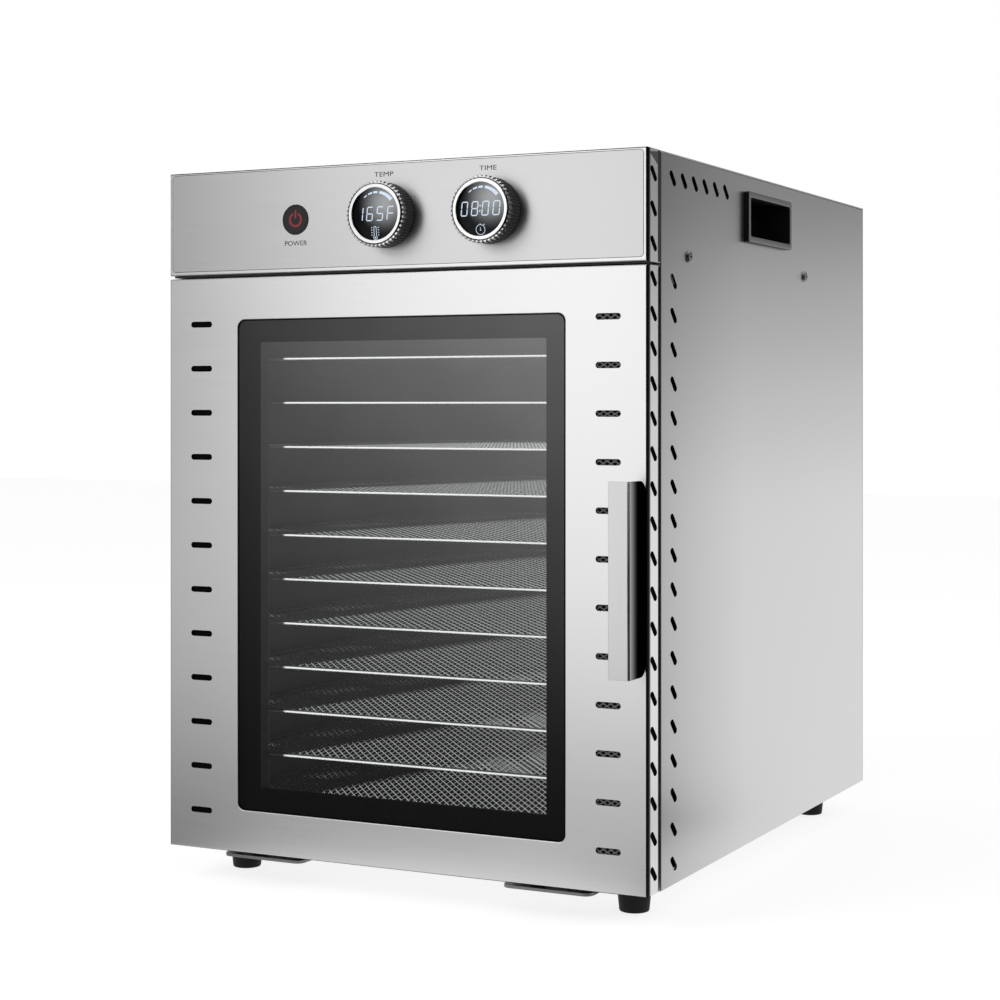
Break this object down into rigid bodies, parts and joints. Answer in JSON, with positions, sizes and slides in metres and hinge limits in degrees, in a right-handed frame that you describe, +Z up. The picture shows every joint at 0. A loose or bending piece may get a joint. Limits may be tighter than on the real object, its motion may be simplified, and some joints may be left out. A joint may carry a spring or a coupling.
{
  "type": "food dehydrator",
  "caption": "Upright stainless food dehydrator with a glass door, stacked mesh trays, two dials with displays, a power button and a rear fan and heater.",
  "frame": {"origin": "centre of the bounding box on the surface that the feet stand on", "axes": "+Z up, -Y towards the door's front, +X towards the door's handle side"},
  "size_m": [0.361, 0.482, 0.481],
  "materials": {
    "outer_steel": "brushed stainless steel, satin",
    "handle_steel": "satin stainless sheet",
    "liner_steel": "plain stainless sheet",
    "tray_steel": "polished stainless rod and mesh",
    "hardware": "plated steel",
    "glass": "tinted tempered glass",
    "silicone": "dark silicone",
    "foot_rubber": "black rubber",
    "black_plastic": "black moulded plastic",
    "knob_metal": "turned ring with a bright face",
    "display_lens": "glossy black lens",
    "board": "fibreglass board with parts",
    "brass": "plain brass",
    "nylon": "natural nylon",
    "cable": "black cable sleeve",
    "magnet": "ferrite in a plastic housing",
    "motor": "painted steel",
    "heater": "heat-tinted steel tube",
    "fan": "pressed aluminium"
  },
  "bodies": {
    "cabinet": {"base_pan": "outer_steel", "side_panel_left": "outer_steel", "side_panel_right": "outer_steel", "top_panel": "outer_steel", "back_panel": "outer_steel", "front_frame": "outer_steel", "fascia": "outer_steel", "liner_left": "liner_steel", "liner_right": "liner_steel", "liner_ceiling": "liner_steel", "liner_floor": "liner_steel", "air_guide": "liner_steel", "rear_bulkhead": "liner_steel", "crumb_tray": "liner_steel", "tray_rails": "liner_steel", "tray_01": "tray_steel", "tray_02": "tray_steel", "tray_03": "tray_steel", "tray_04": "tray_steel", "tray_05": "tray_steel", "tray_06": "tray_steel", "tray_07": "tray_steel", "tray_08": "tray_steel", "tray_09": "tray_steel", "tray_10": "tray_steel", "tray_11": "tray_steel", "tray_12": "tray_steel", "hinge_pins": "hardware", "lower_hinge_bracket": "hardware", "case_screws": "hardware", "heater_clips": "hardware", "door_rest_plates": "hardware", "temp_sensor": "hardware", "feet": "foot_rubber", "cup_handles": "black_plastic", "power_inlet": "black_plastic", "button_switch": "black_plastic", "encoders": "black_plastic", "knob_displays": "display_lens", "control_board": "board", "power_board": "board", "board_standoffs": "brass", "mains_lead": "cable", "catch_magnets": "magnet", "fan_motor": "motor", "heater_ring": "heater", "thermal_cutout": "heater"},
    "door": {"door_skin": "outer_steel", "door_glass": "glass", "glass_seal": "silicone", "door_inner_panel": "outer_steel", "door_gasket": "silicone", "door_handle": "handle_steel", "handle_screws": "hardware", "strike_plates": "hardware", "hinge_bushes": "nylon"},
    "temp_knob": {"temp_knob": "knob_metal"},
    "time_knob": {"time_knob": "knob_metal"},
    "power_button": {"power_button": "black_plastic"},
    "fan": {"fan_impeller": "fan"}
  },
  "joints": [
    {"name": "door_hinge", "type": "hinge", "parent": "cabinet", "child": "door", "pos_m": [-0.1705, -0.2043, 0.2155], "axis": [0, 0, -1], "range_deg": [0, 110]},
    {"name": "temp_knob_turn", "type": "hinge", "parent": "cabinet", "child": "temp_knob", "pos_m": [-0.0065, -0.222, 0.446], "axis": [0, 1, 0], "continuous": true},
    {"name": "time_knob_turn", "type": "hinge", "parent": "cabinet", "child": "time_knob", "pos_m": [0.0695, -0.222, 0.446], "axis": [0, 1, 0], "continuous": true},
    {"name": "power_press", "type": "slide", "parent": "cabinet", "child": "power_button", "axis": [0, 1, 0], "range_m": [0, 0.0015], "stiffness_N_per_m": 400},
    {"name": "fan_spin", "type": "hinge", "parent": "cabinet", "child": "fan", "pos_m": [0, 0.1802, 0.216], "axis": [0, -1, 0], "continuous": true}
  ]
}
